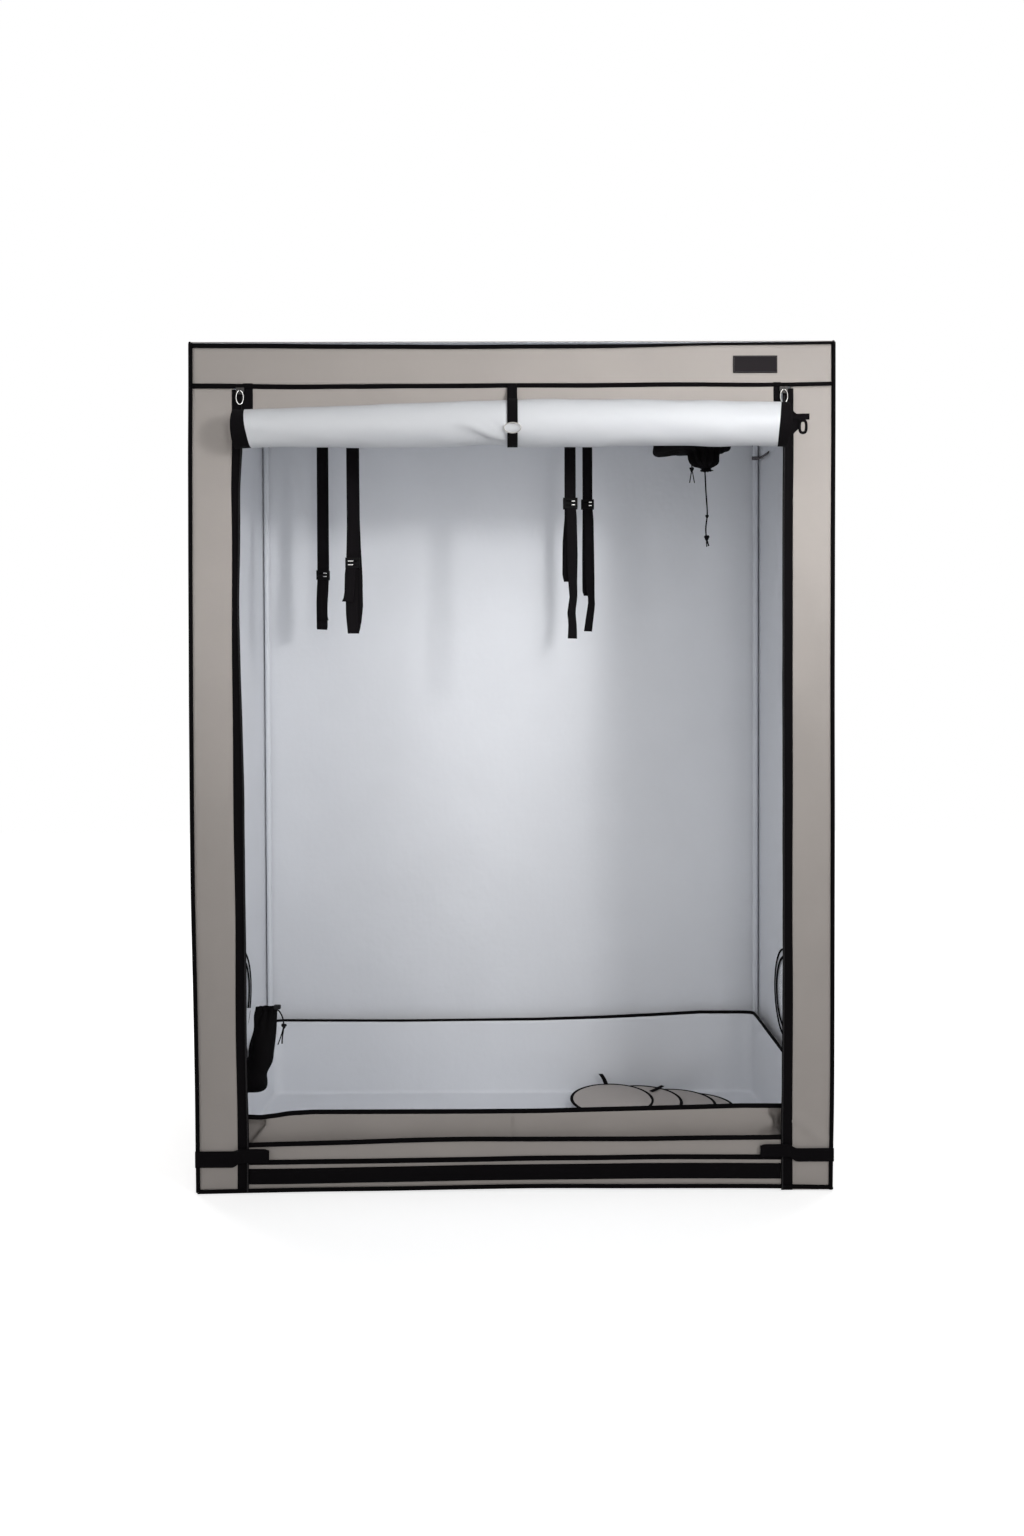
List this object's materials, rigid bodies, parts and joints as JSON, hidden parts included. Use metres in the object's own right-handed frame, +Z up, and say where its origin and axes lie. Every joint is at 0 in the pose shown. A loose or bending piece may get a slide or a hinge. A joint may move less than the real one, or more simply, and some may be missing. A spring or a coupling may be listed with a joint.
{
  "type": "indoor grow tent",
  "caption": "Fabric grow tent on a steel tube frame with its front door rolled up, side vents, a roof duct sleeve, a low cable sleeve, a spill tray and adjustable hanging straps.",
  "frame": {"origin": "middle of the floor panel's underside, where the tent stands on the ground", "axes": "+Z up, +X to the right as seen from the door, +Y from the door to the back wall"},
  "size_m": [1.5, 0.9184, 2],
  "materials": {
    "cover_cloth": "beige coated woven cloth, white inside",
    "liner_cloth": "white coated cloth",
    "webbing": "black woven webbing and zip tape",
    "sleeve_cloth": "black thin cloth",
    "drawcord": "black braided cord",
    "tube_paint": "white powder coat",
    "joint_plastic": "black moulded plastic",
    "zip_metal": "bright plated metal",
    "ring_metal": "bright plated wire"
  },
  "bodies": {
    "tent": {"floor_panel": "cover_cloth", "roof_panel": "cover_cloth", "back_panel": "cover_cloth", "left_panel": "cover_cloth", "right_panel": "cover_cloth", "header_panel": "cover_cloth", "jamb_left": "cover_cloth", "jamb_right": "cover_cloth", "sill_panel": "cover_cloth", "hook_band": "webbing", "zip_tape_left": "webbing", "zip_tape_right": "webbing", "door_roll": "liner_cloth", "roll_strap": "webbing", "roll_ring": "ring_metal", "tray": "liner_cloth", "roof_sleeve": "sleeve_cloth", "cable_sleeve": "sleeve_cloth", "roof_cord_long": "drawcord", "roof_cord_short": "drawcord", "cable_cord": "drawcord", "upright_front_left": "tube_paint", "upright_front_right": "tube_paint", "upright_back_left": "tube_paint", "upright_back_right": "tube_paint", "floor_rail_front": "tube_paint", "floor_rail_back": "tube_paint", "floor_rail_left": "tube_paint", "floor_rail_right": "tube_paint", "roof_rail_front": "tube_paint", "roof_rail_back": "tube_paint", "roof_rail_left": "tube_paint", "roof_rail_right": "tube_paint", "floor_corner_front_left": "joint_plastic", "floor_corner_front_right": "joint_plastic", "floor_corner_back_left": "joint_plastic", "floor_corner_back_right": "joint_plastic", "roof_corner_front_left": "joint_plastic", "roof_corner_front_right": "joint_plastic", "roof_corner_back_left": "joint_plastic", "roof_corner_back_right": "joint_plastic"},
    "crossbar_front_body": {"crossbar_front": "tube_paint"},
    "crossbar_rear_body": {"crossbar_rear": "tube_paint"},
    "strap_front_left_body": {"strap_front_left": "webbing"},
    "strap_front_right_body": {"strap_front_right": "webbing"},
    "strap_rear_left_body": {"strap_rear_left": "webbing"},
    "strap_rear_right_body": {"strap_rear_right": "webbing"},
    "buckle_front_left_body": {"buckle_front_left": "joint_plastic"},
    "buckle_front_right_body": {"buckle_front_right": "joint_plastic"},
    "buckle_rear_left_body": {"buckle_rear_left": "joint_plastic"},
    "buckle_rear_right_body": {"buckle_rear_right": "joint_plastic"},
    "zip_slider_left_body": {"zip_slider_left": "zip_metal"},
    "zip_slider_right_body": {"zip_slider_right": "zip_metal"},
    "zip_pull_left_body": {"zip_pull_left": "zip_metal"},
    "zip_pull_right_body": {"zip_pull_right": "zip_metal"},
    "port_cover_1_body": {"port_cover_1": "cover_cloth"},
    "port_cover_2_body": {"port_cover_2": "cover_cloth"},
    "port_cover_3_body": {"port_cover_3": "cover_cloth"},
    "port_cover_4_body": {"port_cover_4": "cover_cloth"}
  },
  "joints": [
    {"name": "crossbar_front_slide", "type": "slide", "parent": "tent", "child": "crossbar_front_body", "axis": [0, 1, 0], "range_m": [-0.06, 0.06]},
    {"name": "crossbar_rear_slide", "type": "slide", "parent": "tent", "child": "crossbar_rear_body", "axis": [0, 1, 0], "range_m": [-0.06, 0.06]},
    {"name": "strap_front_left_swing", "type": "hinge", "parent": "crossbar_front_body", "child": "strap_front_left_body", "pos_m": [-0.4002, -0.2, 1.9873], "axis": [1, 0, 0], "range_deg": [-25, 25]},
    {"name": "strap_front_right_swing", "type": "hinge", "parent": "crossbar_front_body", "child": "strap_front_right_body", "pos_m": [0.14595, -0.2, 1.9873], "axis": [1, 0, 0], "range_deg": [-25, 25]},
    {"name": "strap_rear_left_swing", "type": "hinge", "parent": "crossbar_rear_body", "child": "strap_rear_left_body", "pos_m": [-0.53805, 0.2, 1.9873], "axis": [1, 0, 0], "range_deg": [-25, 10]},
    {"name": "strap_rear_right_swing", "type": "hinge", "parent": "crossbar_rear_body", "child": "strap_rear_right_body", "pos_m": [0.21705, 0.2, 1.9873], "axis": [1, 0, 0], "range_deg": [-25, 10]},
    {"name": "buckle_front_left_slide", "type": "slide", "parent": "strap_front_left_body", "child": "buckle_front_left_body", "axis": [0, 0, 1], "range_m": [-0.1, 0.15]},
    {"name": "buckle_front_right_slide", "type": "slide", "parent": "strap_front_right_body", "child": "buckle_front_right_body", "axis": [0, 0, 1], "range_m": [-0.1, 0.15]},
    {"name": "buckle_rear_left_slide", "type": "slide", "parent": "strap_rear_left_body", "child": "buckle_rear_left_body", "axis": [0, 0, 1], "range_m": [-0.1, 0.15]},
    {"name": "buckle_rear_right_slide", "type": "slide", "parent": "strap_rear_right_body", "child": "buckle_rear_right_body", "axis": [0, 0, 1], "range_m": [-0.1, 0.15]},
    {"name": "zip_left_slide", "type": "slide", "parent": "tent", "child": "zip_slider_left_body", "axis": [0, 0, -1], "range_m": [0, 1.7]},
    {"name": "zip_right_slide", "type": "slide", "parent": "tent", "child": "zip_slider_right_body", "axis": [0, 0, -1], "range_m": [0, 1.7]},
    {"name": "zip_pull_left_flip", "type": "hinge", "parent": "zip_slider_left_body", "child": "zip_pull_left_body", "pos_m": [-0.6336, -0.4094, 1.8845], "axis": [-1, 0, 0], "range_deg": [0, 170]},
    {"name": "zip_pull_right_flip", "type": "hinge", "parent": "zip_slider_right_body", "child": "zip_pull_right_body", "pos_m": [0.6336, -0.4094, 1.8845], "axis": [-1, 0, 0], "range_deg": [0, 170]},
    {"name": "port_cover_4_lift", "type": "slide", "parent": "tent", "child": "port_cover_4_body", "axis": [0, 0, 1], "range_m": [0, 0.08]},
    {"name": "port_cover_3_lift", "type": "slide", "parent": "port_cover_4_body", "child": "port_cover_3_body", "axis": [0, 0, 1], "range_m": [0, 0.08]},
    {"name": "port_cover_2_lift", "type": "slide", "parent": "port_cover_3_body", "child": "port_cover_2_body", "axis": [0, 0, 1], "range_m": [0, 0.08]},
    {"name": "port_cover_1_lift", "type": "slide", "parent": "port_cover_2_body", "child": "port_cover_1_body", "axis": [0, 0, 1], "range_m": [0, 0.08]}
  ]
}
